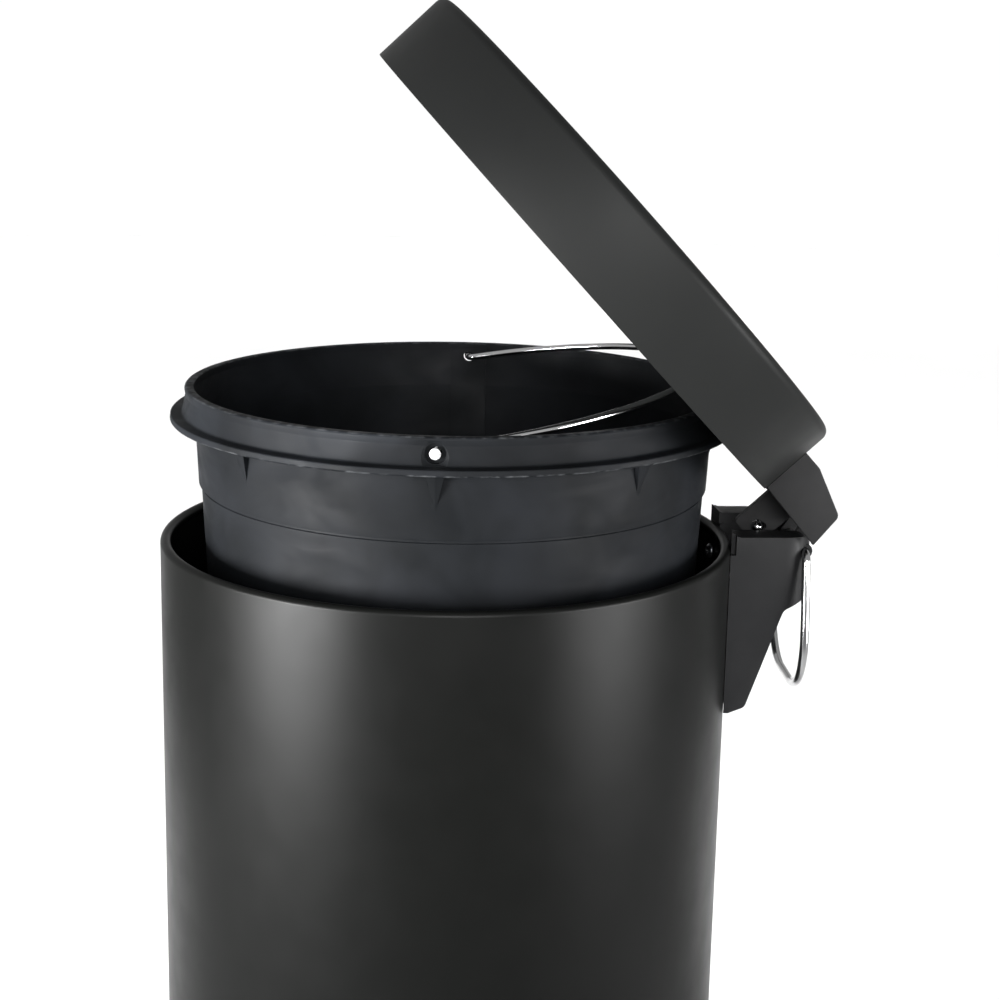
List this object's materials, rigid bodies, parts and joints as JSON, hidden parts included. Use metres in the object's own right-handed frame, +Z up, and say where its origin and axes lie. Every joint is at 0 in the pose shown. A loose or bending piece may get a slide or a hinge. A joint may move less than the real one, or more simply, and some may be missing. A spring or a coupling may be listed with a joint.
{
  "type": "pedal trash can",
  "caption": "Round pedal trash can with a lift-out bucket, a rear-hinged lid and a wire carry handle, shown with the lid open and the bucket half lifted.",
  "frame": {"origin": "on the floor, on the axis of the round body", "axes": "+Z up, -Y towards the pedal at the front, +Y towards the rear hinge, X along the hinge axis"},
  "size_m": [0.2512, 0.336, 0.5784],
  "materials": {
    "paint": "satin",
    "black_plastic": "fine texture",
    "bucket_plastic": "semi-gloss",
    "chrome": "polished",
    "zinc": "zinc plated",
    "rubber": "matt"
  },
  "bodies": {
    "can": {"body_shell": "paint", "body_floor": "zinc", "base_pan": "black_plastic", "foot_1": "rubber", "foot_2": "rubber", "foot_3": "rubber", "foot_4": "rubber", "rod_guide": "zinc", "lever_pin": "zinc", "hinge_housing": "black_plastic", "hinge_pin": "zinc", "housing_screw_1": "zinc", "housing_screw_2": "zinc", "housing_screw_3": "zinc"},
    "lid": {"lid_shell": "paint", "lid_bracket": "black_plastic", "bracket_screw_1": "zinc", "bracket_screw_2": "zinc"},
    "pedal": {"pedal_lever": "zinc", "pedal_pad": "black_plastic"},
    "rod": {"push_rod": "zinc", "rod_cap": "chrome"},
    "handle": {"carry_handle": "chrome"},
    "bucket": {"bucket": "bucket_plastic"},
    "bail": {"bail": "chrome"}
  },
  "joints": [
    {"name": "lid_hinge", "type": "hinge", "parent": "can", "child": "lid", "pos_m": [0, 0.155, 0.3478], "axis": [-1, 0, 0], "range_deg": [-47, 0]},
    {"name": "pedal_hinge", "type": "hinge", "parent": "can", "child": "pedal", "pos_m": [0, 0.02, 0.03], "axis": [1, 0, 0], "range_deg": [-9.49, 0]},
    {"name": "rod_slide", "type": "slide", "parent": "can", "child": "rod", "axis": [0, 0, 1], "range_m": [-0.01597, 0]},
    {"name": "bucket_lift", "type": "slide", "parent": "can", "child": "bucket", "axis": [0, 0.0483, 0.9988], "range_m": [-0.05176, 0]},
    {"name": "bail_hinge", "type": "hinge", "parent": "bucket", "child": "bail", "pos_m": [0, 0.0025, 0.4098], "axis": [0.9945, -0.1045, 0], "range_deg": [-6, 167]},
    {"name": "handle_hinge", "type": "hinge", "parent": "can", "child": "handle", "pos_m": [0, 0.155, 0.3478], "axis": [1, 0, 0], "range_deg": [-15, 125]}
  ],
  "couplings": [
    {"joint": "pedal_hinge", "follows": "lid_hinge", "ratio": 0.2017},
    {"joint": "rod_slide", "follows": "lid_hinge", "m_per_rad": 0.01944},
    {"joint": "bucket_lift", "follows": "lid_hinge", "m_per_rad": 0.06309}
  ]
}
